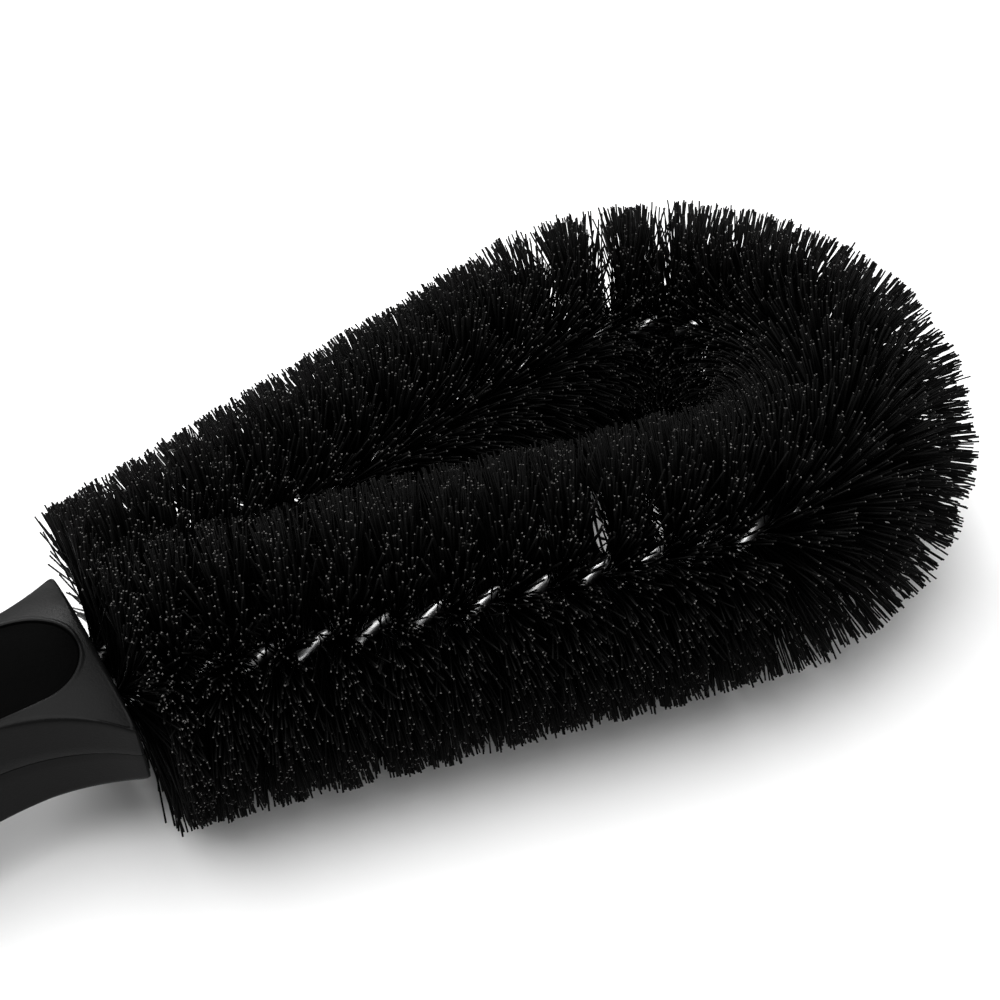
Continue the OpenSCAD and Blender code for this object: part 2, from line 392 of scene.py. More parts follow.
@dataclass(frozen=True)
class ShellFinish(Finish):
    """Moulded black plastic with a fine spark texture, polished where it is handled."""

    level: float = 0.0022

    def surface(self, kit: NodeKit) -> dict[str, Any]:
        """Spark-eroded grain, smoother and paler on the rubbed edges.

        Args:
            kit: The material\'s node kit.

        Returns:
            The inputs of its shader, by name.
        """
        spark = kit.noise(2600.0, 2.0)
        cloud = kit.noise(55.0, 4.0)
        rub = kit.noise(330.0, 5.0)
        edge = kit.wear() * kit.span(rub, 0.35, 0.6, 0.25)
        body = kit.mix(cloud, grey(self.level * 0.85, 0.01), grey(self.level * 1.2, -0.01))
        return {
            "Base_Color": kit.mix(edge * 0.55, body, grey(self.level * 2.4)),
            "Roughness": 0.26 + cloud * 0.1 - edge * 0.08 + spark * 0.06,
            "IOR": 1.5,
            "Specular_IOR_Level": 0.075,
            "Normal": kit.bump(spark + rub * 0.4, 0.00006, 0.5),
        }


@dataclass(frozen=True)
class GripFinish(Finish):
    """Soft-touch black rubber, matt, with dust in its grain."""

    level: float = 0.0006

    def surface(self, kit: NodeKit) -> dict[str, Any]:
        """Porous, dusty in patches.

        Args:
            kit: The material\'s node kit.

        Returns:
            The inputs of its shader, by name.
        """
        pores = kit.noise(1500.0, 3.0)
        cloud = kit.noise(70.0, 5.0)
        worn = kit.wear()
        dust = kit.span(cloud, 0.45, 0.75)
        body = kit.mix(dust, grey(self.level * 0.8), grey(self.level * 1.8, 0.02))
        return {
            "Base_Color": kit.mix(worn * 0.5, body, grey(self.level * 2.6)),
            "Roughness": 0.62 + pores * 0.12 + dust * 0.08 - worn * 0.08,
            "IOR": 1.5,
            "Specular_IOR_Level": 0.012,
            "Normal": kit.bump(pores + cloud * 0.3, 0.00008, 0.6),
        }


@dataclass(frozen=True)
class AnchorFinish(Finish):
    """Plain moulded inner plastic with flow marks."""

    def surface(self, kit: NodeKit) -> dict[str, Any]:
        """Broad flow marks under a fine grain.

        Args:
            kit: The material\'s node kit.

        Returns:
            The inputs of its shader, by name.
        """
        flow = kit.noise(120.0, 5.0)
        return {
            "Base_Color": kit.mix(flow, grey(0.08), grey(0.12, 0.02)),
            "Roughness": 0.45 + flow * 0.2,
            "Normal": kit.bump(kit.noise(1400.0, 2.0), 0.00005, 0.4),
        }


@dataclass(frozen=True)
class FloorFinish(Finish):
    """Seamless white studio paper."""

    def surface(self, kit: NodeKit) -> dict[str, Any]:
        """Matt white, faintly uneven.

        Args:
            kit: The material\'s node kit.

        Returns:
            The inputs of its shader, by name.
        """
        white = kit.mix(kit.noise(6.0, 2.0), grey(0.86), grey(0.88))
        return {"Base_Color": white, "Roughness": 0.9, "Specular_IOR_Level": 0.1}


# --- Meshes ---


def put_in_scene(name: str, data: bpy.types.ID) -> bpy.types.Object:
    """Put a new object in the scene.

    Args:
        name: Its name.
        data: Its mesh, light or camera.

    Returns:
        The object.
    """
    obj = bpy.data.objects.new(name, data)
    bpy.context.scene.collection.objects.link(obj)
    return obj


def add_mesh(
    name: str,
    points: np.ndarray,
    faces: Sequence[Sequence[int]],
    corner_uv: np.ndarray,
    wear: np.ndarray | None = None,
    sharp_from: float = MOULDED_SHARP,
) -> bpy.types.Object:
    """Make a closed, outward-facing mesh object in the row frame.

    Args:
        name: The object's name.
        points: Points in millimetres, as the sizes are given.
        faces: Corner lists.
        corner_uv: One pair for each face corner, in face order.
        wear: One value for each point, 1 where the surface is rubbed.
        sharp_from: Edges sharper than this many degrees stay crisp.

    Returns:
        The new object, at the origin.
    """
    mesh = bpy.data.meshes.new(name)
    mesh.from_pydata(((points + PLACE) * MM).tolist(), [], [list(f) for f in faces])
    layer = mesh.uv_layers.new(name=BAKE_MAP)
    layer.data.foreach_set("uv", np.asarray(corner_uv, dtype=np.float32).ravel())
    if wear is not None:
        layer = mesh.attributes.new(WEAR, "FLOAT", "POINT")
        layer.data.foreach_set("value", np.asarray(wear, dtype=np.float32))
    edit = bmesh.new()
    edit.from_mesh(mesh)
    bmesh.ops.remove_doubles(edit, verts=edit.verts, dist=SAME_POINT)
    bmesh.ops.dissolve_degenerate(edit, dist=THIN_FACE, edges=edit.edges)
    bmesh.ops.recalc_face_normals(edit, faces=edit.faces)
    edit.to_mesh(mesh)
    edit.free()
    mesh.shade_smooth()
    mesh.set_sharp_from_angle(angle=math.radians(sharp_from))
    return put_in_scene(name, mesh)


def ring_faces(rings: int, count: int, closed_ends: bool = False) -> list[list[int]]:
    """Faces between neighbouring rings.

    Args:
        rings: How many rings.
        count: Points in each ring.
        closed_ends: Close the first and last ring with one face each.

    Returns:
        Corner lists.
    """
    faces = []
    for low in range(0, (rings - 1) * count, count):
        high = low + count
        for k in range(count):
            beside = (k + 1) % count
            faces.append([low + k, low + beside, high + beside, high + k])
    if closed_ends:
        faces.append(list(range(count))[::-1])
        faces.append([(rings - 1) * count + k for k in range(count)])
    return faces


def ring_uv(along: Sequence[float], count: int, low: float = 0.0, high: float = 1.0) -> np.ndarray:
    """Lay ring faces out on the bake map, round the ring across and from ring to ring upwards.

    Args:
        along: Length along the skin at each ring.
        count: Points in each ring.
        low: Bottom of the band they take.
        high: Top of the band.

    Returns:
        One pair for each face corner.
    """
    v = np.asarray(along, dtype=float)
    v = low + (high - low) * (v - v[0]) / (v[-1] - v[0])
    corners = []
    for v0, v1 in zip(v, v[1:]):
        for k in range(count):
            a, b = k / count, (k + 1) / count
            corners += [(a, v0), (b, v0), (b, v1), (a, v1)]
    return np.array(corners)


def lathe(
    name: str,
    profile: Sequence[tuple[float, float]],
    centre: tuple[float, float],
    sides: int,
    band: tuple[float, float] = CUT_BAND,
) -> bpy.types.Object:
    """Turn a profile about an upright axis.

    Args:
        name: The object's name.
        profile: Radius and height of each point. It starts and ends on the axis, or else its
            last point joins its first.
        centre: The axis, x and y.
        sides: Flats round the axis.
        band: The part of the bake map it takes, bottom and top.

    Returns:
        The new object.
    """
    loop = list(profile) + ([profile[0]] if profile[0][0] > 0 else [])
    turn = np.arange(sides) * 2 * math.pi / sides
    points = np.array(
        [[centre[0] + r * math.cos(a), centre[1] + r * math.sin(a), z] for r, z in loop for a in turn]
    )
    steps = [0.0]
    for (r0, z0), (r1, z1) in zip(loop, loop[1:]):
        steps.append(steps[-1] + math.hypot(r1 - r0, z1 - z0))
    return add_mesh(name, points, ring_faces(len(loop), sides), ring_uv(steps, sides, *band))


def cut_away(body: bpy.types.Object, cutters: Sequence[bpy.types.Object]) -> None:
    """Cut separate solids out of a body in one go and remove them.

    Args:
        body: The piece to cut.
        cutters: Closed solids that don't touch each other.
    """
    joined = bmesh.new()
    for cutter in cutters:
        joined.from_mesh(cutter.data)
        bpy.data.objects.remove(cutter, do_unlink=True)
    mesh = bpy.data.meshes.new("cutters")
    joined.to_mesh(mesh)
    joined.free()
    tool = put_in_scene("cutters", mesh)
    change = body.modifiers.new("cut", "BOOLEAN")
    change.operation = "DIFFERENCE"
    change.solver = "MANIFOLD"
    change.object = tool
    settle(body)
    bpy.data.objects.remove(tool, do_unlink=True)
    body.data.set_sharp_from_angle(angle=math.radians(CUT_SHARP))


def settle(obj: bpy.types.Object) -> None:
    """Turn an object's modifiers into its plain mesh.

    Args:
        obj: The object.
    """
    bpy.context.view_layer.update()
    shown = obj.evaluated_get(bpy.context.evaluated_depsgraph_get())
    mesh = bpy.data.meshes.new_from_object(shown)
    obj.modifiers.clear()
    obj.data = mesh


def dress(
    obj: bpy.types.Object, material: bpy.types.Material, nodes: Sequence[str]
) -> None:
    """Give a finished piece its material, body and the CAD nodes it stands for.

    Args:
        obj: The piece.
        material: Its finish.
        nodes: The CAD nodes.
    """
    obj.data.materials.clear()
    obj.data.materials.append(material)
    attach(obj, BODY)
    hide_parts(*nodes)
    faces = sum(len(p.vertices) - 2 for p in obj.data.polygons)
    log.info("%s: %d triangles, for %s", obj.name, faces, ", ".join(nodes))


# --- Wire loop ---


@dataclass
class LoopCore:
    """Middle line of the twisted wire, from one end in the handle round the nose to the other."""

    head_l: float = 170.0
    bristle_r: float = 25.0
    loop_r: float = 32.5
    neck_y: float = 5.5
    neck_bend: float = 40.0
    pitch: float = 19.4
    start_turn: float = 155.0
    end_behind_bend: float = 26.3

    def __post_init__(self) -> None:
        """Work out the lengths of the stretches."""
        self.loop_x = self.head_l - self.bristle_r - self.loop_r
        reach = math.hypot(self.loop_x, self.neck_y)
        self.spread = math.asin(self.loop_r / reach) - math.atan2(self.neck_y, self.loop_x)
        self.limb_l = math.sqrt(reach**2 - self.loop_r**2)
        self.bend_l = self.neck_bend * self.spread
        self.bend_x = self.neck_bend * math.sin(self.spread)
        self.nose_l = self.loop_r * (math.pi / 2 + self.spread)
        self.limb_from = self.end_behind_bend + self.bend_l
        self.nose_from = self.limb_from + self.limb_l
        self.half_l = self.nose_from + self.nose_l

    def _half(self, u: float) -> tuple[float, float, float]:
        """Place and heading on the left half.

        Args:
            u: Length along the wire from its left end.

        Returns:
            x, y and the heading in radians.
        """
        if u < self.end_behind_bend:
            tail_y = self.neck_y - self.neck_bend * (1 - math.cos(self.spread))
            return (u - self.end_behind_bend - self.bend_x, tail_y, 0.0)
        if u < self.limb_from:
            a = (u - self.end_behind_bend) / self.neck_bend
            y = self.neck_y + self.neck_bend * (math.cos(self.spread) - math.cos(a))
            return (self.neck_bend * math.sin(a) - self.bend_x, y, a)
        if u < self.nose_from:
            t = u - self.limb_from
            return (t * math.cos(self.spread), self.neck_y + t * math.sin(self.spread), self.spread)
        a = math.pi / 2 + self.spread - (u - self.nose_from) / self.loop_r
        return (self.loop_x + self.loop_r * math.cos(a), self.loop_r * math.sin(a), a - math.pi / 2)

    def at(self, s: float) -> tuple[float, float, float]:
        """Place and heading.

        Args:
            s: Length along the wire from its left end.

        Returns:
            x, y and the heading in radians.
        """
        if s <= self.half_l:
            return self._half(s)
        x, y, heading = self._half(2 * self.half_l - s)
        return (x, -y, math.pi - heading)

    def turn(self, s: float) -> float:
        """Angle of the first strand about the core at a length, left-handed, in radians."""
        return math.radians(self.start_turn) - 2 * math.pi * s / self.pitch


@dataclass
class TwistedWire:
    """The two strands that clamp the filaments."""

    core: LoopCore
    wire_r: float = 1.2
    strand_off: float = 1.4
    sides: int = 14
    step: float = 1.1
    rows: int = 16
    map_in: float = 0.02
    row_in: float = 0.05
    used: float = 0.9
    cap_at: tuple[float, float] = (0.98, 0.5)
    cap_r: float = 0.01
    cap_step: float = 0.1

    def ring(self, s: float, start: float) -> np.ndarray:
        """Points round one strand.

        Args:
            s: Length along the core.
            start: The strand's angle from the first strand, in radians.

        Returns:
            One ring of points.
        """
        x, y, heading = self.core.at(s)
        turn = self.core.turn(s) + start
        along = np.array([math.cos(heading), math.sin(heading), 0.0])
        side = np.array([-math.sin(heading), math.cos(heading), 0.0])
        up = np.array([0.0, 0.0, 1.0])
        out = side * math.cos(turn) + up * math.sin(turn)
        roll = -2 * math.pi * self.strand_off / self.core.pitch
        way = along + roll * (up * math.cos(turn) - side * math.sin(turn))
        way /= np.linalg.norm(way)
        flank = np.cross(way, out)
        middle = np.array([x, y, 0.0]) + self.strand_off * out
        around = np.arange(self.sides) * 2 * math.pi / self.sides
        return middle + self.wire_r * (np.outer(np.cos(around), out) + np.outer(np.sin(around), flank))

    def strand(self, name: str, start: float) -> bpy.types.Object:
        """Sweep one strand, laid out on the bake map in rows.

        Args:
            name: The object's name.
            start: Its angle from the first strand, in radians.

        Returns:
            The strand.
        """
        count = math.ceil(2 * self.core.half_l / self.step)
        lengths = np.linspace(0.0, 2 * self.core.half_l, count + 1)
        points = np.concatenate([self.ring(s, start) for s in lengths])
        corners = []
        for i in range(count):
            row = i * self.rows // count
            first = row * count / self.rows
            u0, u1 = (self.map_in + self.used * (i + k - first) * self.rows / count for k in (0, 1))
            for side in range(self.sides):
                v0, v1 = (
                    (row + self.row_in + self.used * (side + k) / self.sides) / self.rows
                    for k in (0, 1)
                )
                corners += [(u0, v0), (u0, v1), (u1, v1), (u1, v0)]
        turns = [k * 2 * math.pi / self.sides for k in range(self.sides)]
        u, v, r = *self.cap_at, self.cap_r
        cap = [(u + r * math.cos(a), v + r * math.sin(a)) for a in turns]
        corners += cap[::-1] + [(u, v + self.cap_step) for u, v in cap]
        faces = ring_faces(len(lengths), self.sides, closed_ends=True)
        return add_mesh(name, points, faces, np.array(corners), sharp_from=WIRE_SHARP)

    def build(self, finish: bpy.types.Material) -> None:
        """Make both strands."""
        dress(self.strand("wire_strand_a_drawn", 0.0), finish, ["wire_strand_a"])
        dress(self.strand("wire_strand_b_drawn", math.pi), finish, ["wire_strand_b"])


# --- Filaments ---


class Stretch(Enum):
    """The stretches of the bristle field, each with its CAD node."""

    NECK_LEFT = "bristles_neck_left"
    LIMB_LEFT = "bristles_limb_left"
    SHOULDER_LEFT = "bristles_shoulder_left"
    NOSE = "bristles_nose"
    SHOULDER_RIGHT = "bristles_shoulder_right"
    LIMB_RIGHT = "bristles_limb_right"
    NECK_RIGHT = "bristles_neck_right"


class FilamentTree:
    """The node tree that grows filaments along a path, with one named input for each size."""

    FLOATS = (
        "Reach", "Pitch", "Start Turn", "Spread", "Lean", "Tuft Size", "Tuft Pull", "Strip Size",
        "Strip Pull", "Thickness", "Bend", "Front Wall", "Front Splay", "Splay From",
    )
    # how much shorter a filament, or a whole tuft, may be cut
    UNEVEN = 0.05
    # bake map: a column's margin and width, where its sides start and how far they rise, and
    # the heights of its root end and its cut tip
    COLUMN_IN, COLUMN_WIDE = 0.1, 0.8
    SIDE_FROM, SIDE_RISE = 0.03, 0.9
    ROOT_AT, TIP_AT, END_RISE = 0.003, 0.965, 0.06

    def __init__(self, columns: int) -> None:
        """Add the tree and its inputs.

        Args:
            columns: Columns of the bake map that the filaments are dealt to.
        """
        self.columns = float(columns)
        self.tree = bpy.data.node_groups.new("filaments on a twisted wire", "GeometryNodeTree")
        kinds = {"Path": "Geometry", "Filaments": "Int", **dict.fromkeys(self.FLOATS, "Float")}
        kinds |= {"Seed": "Int", "Finish": "Material"}
        sockets = self.tree.interface
        for name, kind in kinds.items():
            sockets.new_socket(name=name, in_out="INPUT", socket_type="NodeSocket" + kind)
        sockets.new_socket(name="Geometry", in_out="OUTPUT", socket_type="NodeSocketGeometry")
        self.kit = NodeKit(self.tree)
        given = self.kit.node("NodeGroupInput")
        self.size = {name: Value(self.kit, given.outputs[name]) for name in kinds}
        self.index = self.kit.out("GeometryNodeInputIndex")
        self.position = self.kit.out("GeometryNodeInputPosition")
        self.root, self.ahead, self.length = self.roots()

    def lot(self, salt: int, low: float = -1.0, high: float = 1.0) -> Value:
        """One random number for each filament."""
        return self.kit.out(
            "FunctionNodeRandomValue", "Value", {"data_type": "FLOAT"},
            Min=low, Max=high, Seed=self.size["Seed"] + salt,
        )

    def sample(self, kind: str, value: Value, at: Value) -> Value:
        """Read a value at one point of the path."""
        return self.kit.out(
            "GeometryNodeSampleIndex", "Value", {"data_type": kind, "domain": "POINT", "clamp": True},
            Geometry=self.size["Path"], Value=value, Index=at,
        )

    def keep(self, geometry: Value, name: str, kind: str, domain: str, value: Value) -> Value:
        """Store a named attribute."""
        return self.kit.out(
            "GeometryNodeStoreNamedAttribute", "Geometry", {"data_type": kind, "domain": domain},
            Geometry=geometry, Name=name, Value=value,
        )

    def read(self, name: str, kind: str = "FLOAT") -> Value:
        """Read a named attribute."""
        node = "GeometryNodeInputNamedAttribute"
        return self.kit.out(node, "Attribute", {"data_type": kind}, Name=name)

    def roots(self) -> tuple[Value, Value, Value]:
        """Deal the roots out along the path.

        Returns:
            Each root, the heading of the wire there and its length along the wire.
        """
        kit, size = self.kit, self.size
        count = kit.out(
            "GeometryNodeAttributeDomainSize", "Point Count", {"component": "MESH"},
            Geometry=size["Path"],
        )
        place = (self.index + self.lot(1, 0.0, 1.0)) / size["Filaments"] * (count - 1.0)
        low = kit.math("FLOOR", place)
        part = place - low
        ends = (low, low + 1.0)
        here, there = (self.sample("FLOAT_VECTOR", self.position, at) for at in ends)
        length0, length1 = (self.sample("FLOAT", self.read("along"), at) for at in ends)
        step = kit.vector("SUBTRACT", there, here)
        root = kit.add(here, kit.scaled(step, part))
        return root, kit.unit(step), length0 + (length1 - length0) * part

    def fanned(self) -> Value:
        """Direction of each filament, square to the plane of the strands and fanned to both sides.

        Returns:
            The direction, square to the wire.
        """
        kit, size, lot = self.kit, self.size, self.lot
        up = kit.join(z=1.0)
        side = kit.unit(kit.vector("CROSS_PRODUCT", up, self.ahead))
        arm = kit.math("FLOOR", lot(2, 0.0, 1.9999)) * math.pi
        fan = (lot(3) + lot(4) + lot(5)) * size["Spread"]
        twist = self.length * (2 * math.pi) / size["Pitch"]
        turn = size["Start Turn"] - twist + arm + fan + math.pi / 2
        across, upright = kit.math("COSINE", turn), kit.math("SINE", turn)
        return kit.add(kit.scaled(side, across), kit.scaled(up, upright))

    def gathered(self, tip: Value, cells: Value, pull: Value) -> tuple[Value, Value]:
        """Pull the tips towards the middles of random cells.

        Args:
            tip: The tips.
            cells: Size of the cells.
            pull: Share of the way to the middle.

        Returns:
            The moved tips, and one random number for each cell.
        """
        kit = self.kit
        cell = kit.node(
            "ShaderNodeTexVoronoi", {"voronoi_dimensions": "3D", "feature": "F1"},
            Vector=tip, Scale=1.0 / cells, Randomness=1.0,
        )
        way = kit.vector("SUBTRACT", Value(kit, cell.outputs["Position"]), tip)
        return kit.add(tip, kit.scaled(way, pull)), kit.parts(Value(kit, cell.outputs["Color"]))[0]

    def tips(self) -> tuple[Value, Value]:
        """Where the filaments end before they are trimmed.

        Returns:
            The tips, and one random number for each tuft.
        """
        kit, size, lot = self.kit, self.size, self.lot
        leaning = (lot(6) + lot(7) + lot(8)) * size["Lean"]
        out = kit.scaled(self.fanned(), size["Reach"])
        tip = kit.add(self.root, out, kit.scaled(self.ahead, leaning * size["Reach"]))
        # the first filaments are pushed forward by the handle's front face
        behind = size["Splay From"] - kit.parts(self.root)[0]
        near = kit.math("MAXIMUM", behind / (size["Splay From"] - size["Front Wall"]), 0.0)
        forward = size["Reach"] * size["Front Splay"] * near * near * lot(18, 0.1, 0.5)
        tip = kit.add(tip, kit.join(forward))
        # neighbouring tips gather into tufts, and those into thin strips
        tip, tuft = self.gathered(tip, size["Tuft Size"], size["Tuft Pull"] * lot(9, 0.2, 1.0))
        tip, _ = self.gathered(tip, size["Strip Size"], size["Strip Pull"] * lot(19, 0.2, 1.0))
        x, y, z = kit.parts(tip)
        pressed = size["Front Wall"] + size["Reach"] * size["Front Splay"] * lot(20, 0.5, 1.15)
        return kit.join(kit.math("MAXIMUM", x, pressed), y, z), tuft

    def trimmed(self, tip: Value, tuft: Value) -> Value:
        """Trim every tip at one distance from the wire, and keep it over the floor.

        Args:
            tip: The tips.
            tuft: One random number for each tuft.

        Returns:
            The way from root to tip.
        """
        kit, size = self.kit, self.size
        way = kit.vector("SUBTRACT", tip, self.root)
        on_axis = kit.vector("DOT_PRODUCT", way, self.ahead, output="Value")
        off_axis = kit.vector("SUBTRACT", way, kit.scaled(self.ahead, on_axis))
        trim = 1.0 - self.UNEVEN * self.lot(10, 0.0, 1.0) ** 3.0 - self.UNEVEN * tuft
        way = kit.scaled(way, size["Reach"] * trim / kit.length(off_axis))
        sunk = FLOOR_GAP - kit.parts(self.root)[2] - kit.parts(way)[2]
        return kit.add(way, kit.join(z=kit.math("MAXIMUM", sunk, 0.0)))

    def bow(self, way: Value) -> Value:
        """Bend of each filament at its tip, but not back into the handle or down into the floor.

        Args:
            way: The way from root to tip.

        Returns:
            How far the tip moves.
        """
        kit, size, lot = self.kit, self.size, self.lot
        across = kit.vector("CROSS_PRODUCT", kit.unit(way), kit.join(lot(11), lot(12), lot(13)))
        x, y, z = kit.parts(kit.scaled(across, size["Bend"] * kit.length(way) * lot(14, 0.2, 1.6)))
        tip_x, _, tip_z = kit.parts(kit.add(self.root, way))
        clear_x = kit.math("MAXIMUM", x, size["Front Wall"] - tip_x)
        return kit.join(clear_x, y, kit.math("MAXIMUM", z, FLOOR_GAP - tip_z))

    def stick(self) -> Value:
        """One three-sided filament of unit size, which keeps where its faces are.

        Returns:
            Its mesh.
        """
        kit = self.kit
        stick = kit.out(
            "GeometryNodeMeshCylinder", "Mesh", {"fill_type": "NGON"},
            Vertices=3, Side_Segments=3, Radius=0.5, Depth=1.0,
        )
        stick = kit.out(
            "GeometryNodeTransform", "Geometry", None, Geometry=stick, Translation=(0.0, 0.0, 0.5)
        )
        stick = self.keep(stick, "up", "FLOAT", "POINT", kit.parts(self.position)[2])
        stick = self.keep(stick, "round", "FLOAT", "POINT", (self.index % 3.0) * 0.5)
        facing = kit.parts(kit.out("GeometryNodeInputNormal"))[2]
        return self.keep(stick, "end", "FLOAT", "FACE", kit.math("ABSOLUTE", facing) > 0.5)

    def map_place(self) -> Value:
        """Place on the bake map: one column for each lot, the cut tip at the top.

        Returns:
            The place, for each face corner.
        """
        up, around, ends = (self.read(name) for name in ("up", "round", "end"))
        column = self.kit.math("FLOOR", self.read("lot") * self.columns)
        at_tip = up > 0.5
        peak = around * (1.0 - around) * self.END_RISE
        on_end = at_tip * self.TIP_AT + (1.0 - at_tip) * self.ROOT_AT + peak
        v = ends * on_end + (1.0 - ends) * (self.SIDE_FROM + up * self.SIDE_RISE)
        return self.kit.join((column + self.COLUMN_IN + around * self.COLUMN_WIDE) / self.columns, v)

    def build(self) -> bpy.types.GeometryNodeTree:
        """Link the tree up.

        Returns:
            The tree.
        """
        kit, size = self.kit, self.size
        way = self.trimmed(*self.tips())
        points = kit.out("GeometryNodePoints", 0, None, Count=size["Filaments"], Position=self.root)
        points = self.keep(points, "bow", "FLOAT_VECTOR", "POINT", self.bow(way))
        points = self.keep(points, "lot", "FLOAT", "POINT", self.lot(15, 0.0, 0.9999))
        aim = kit.out("FunctionNodeAlignRotationToVector", 0, {"axis": "Z"}, Vector=kit.unit(way))
        spin = kit.out(
            "FunctionNodeAxisAngleToRotation", 0, None,
            Axis=(0.0, 0.0, 1.0), Angle=self.lot(16, 0.0, 6.2831),
        )
        aim = kit.out(
            "FunctionNodeRotateRotation", 0, {"rotation_space": "LOCAL"}, Rotation=aim, Rotate_By=spin
        )
        girth = size["Thickness"] * self.lot(17, 0.86, 1.12)
        scale = kit.join(girth, girth, kit.length(way))
        mesh = kit.out(
            "GeometryNodeInstanceOnPoints", 0, None,
            Points=points, Instance=self.stick(), Rotation=aim, Scale=scale,
        )
        mesh = kit.out("GeometryNodeRealizeInstances", 0, None, Geometry=mesh)
        up = self.read("up")
        bent = kit.scaled(self.read("bow", "FLOAT_VECTOR"), up * up)
        mesh = kit.out("GeometryNodeSetPosition", 0, None, Geometry=mesh, Offset=bent)
        mesh = self.keep(mesh, BAKE_MAP, "FLOAT2", "CORNER", self.map_place())
        mesh = kit.out("GeometryNodeSetMaterial", 0, None, Geometry=mesh, Material=size["Finish"])
        kit.node("NodeGroupOutput", None, Geometry=mesh)
        return self.tree


@dataclass
class BristleField:
    """Filaments clamped between the strands, standing out all round the wire."""

    core: LoopCore
    per_mm: float = 92.0
    reach: float = 25.5
    spread: float = 25.0
    lean: float = 0.08
    nose_lean: float = 0.1
    tuft: float = 4.4
    nose_tuft: float = 3.3
    pull: float = 0.5
    nose_pull: float = 0.72
    nose_share: float = 0.74
    strip: float = 1.6
    cling: float = 0.66
    thickness: float = 0.39
    bend: float = 0.075
    front: float = 0.5
    splay: float = 0.2
    splay_from: float = 15.0
    neck_share: float = 0.48
    neck_gap: float = 0.6
    nose_half: float = 36.0
    path_step: float = 0.6
    columns: int = 64
    seed: int = 11

    def span(self, stretch: Stretch) -> tuple[float, float]:
        """Lengths along the wire between which a stretch runs.

        Args:
            stretch: Which stretch.

        Returns:
            Its two ends.
        """
        core = self.core
        nose = core.half_l - math.radians(self.nose_half) * core.loop_r
        neck = core.limb_from + self.neck_share * core.limb_l
        marks = [core.limb_from + self.neck_gap, neck, core.nose_from, nose]
        marks += [2 * core.half_l - mark for mark in marks[::-1]]
        place = list(Stretch).index(stretch)
        return marks[place], marks[place + 1]

    def path(self, stretch: Stretch) -> bpy.types.Object:
        """Make the line of points a stretch grows from, with its length along the wire.

        Args:
            stretch: Which stretch.

        Returns:
            The line, not yet grown.
        """
        a, b = self.span(stretch)
        lengths = np.linspace(a, b, math.ceil((b - a) / self.path_step) + 1)
        points = np.array([[*self.core.at(s)[:2], 0.0] for s in lengths])
        mesh = bpy.data.meshes.new(stretch.value + "_path")
        edges = [(i, i + 1) for i in range(len(points) - 1)]
        mesh.from_pydata(((points + PLACE) * MM).tolist(), edges, [])
        layer = mesh.attributes.new("along", "FLOAT", "POINT")
        layer.data.foreach_set("value", (lengths * MM).astype(np.float32))
        return put_in_scene(stretch.value + "_filaments", mesh)

    def sizes(self, stretch: Stretch) -> dict[str, Any]:
        """What a stretch gives the tree's inputs, in metres and radians.

        Args:
            stretch: Which stretch.

        Returns:
            One value for each input but the path and the finish.
        """
        a, b = self.span(stretch)
        curved = stretch in (Stretch.SHOULDER_LEFT, Stretch.NOSE, Stretch.SHOULDER_RIGHT)
        return {
            "Filaments": round((b - a) * self.per_mm * (self.nose_share if curved else 1.0)),
            "Reach": self.reach * MM,
            "Pitch": self.core.pitch * MM,
            "Start Turn": math.radians(self.core.start_turn),
            "Spread": math.radians(self.spread),
            "Lean": self.nose_lean if curved else self.lean,
            "Tuft Size": (self.nose_tuft if curved else self.tuft) * MM,
            "Tuft Pull": self.nose_pull if curved else self.pull,
            "Strip Size": self.strip * MM,
            "Strip Pull": self.cling,
            "Thickness": self.thickness * MM,
            "Bend": self.bend,
            "Front Wall": (PLACE[0] + self.front) * MM,
            "Front Splay": self.splay,
            "Splay From": (PLACE[0] + self.splay_from) * MM,
            "Seed": self.seed + 100 * list(Stretch).index(stretch),
        }

    def build(self, finish: bpy.types.Material) -> None:
        """Grow every stretch and dress it.

        Args:
            finish: The filament material.
        """
        tree = FilamentTree(self.columns).build()
        inputs = [item for item in tree.interface.items_tree if item.in_out == "INPUT"]
        sockets = {item.name: item.identifier for item in inputs}
        for stretch in Stretch:
            obj = self.path(stretch)
            change = obj.modifiers.new("filaments", "NODES")
            change.node_group = tree
            for name, value in {**self.sizes(stretch), "Finish": finish}.items():
                change[sockets[name]] = value
            settle(obj)
            mesh = obj.data
            for name in ("bow", "lot", "up", "round", "end", "along"):
                if name in mesh.attributes:
                    mesh.attributes.remove(mesh.attributes[name])
            mesh.shade_smooth()
            dress(obj, finish, [stretch.value])


# --- Handle ---


# points of a ring in plan, their heights, and how rubbed it is
Ring = tuple[np.ndarray, np.ndarray, float]


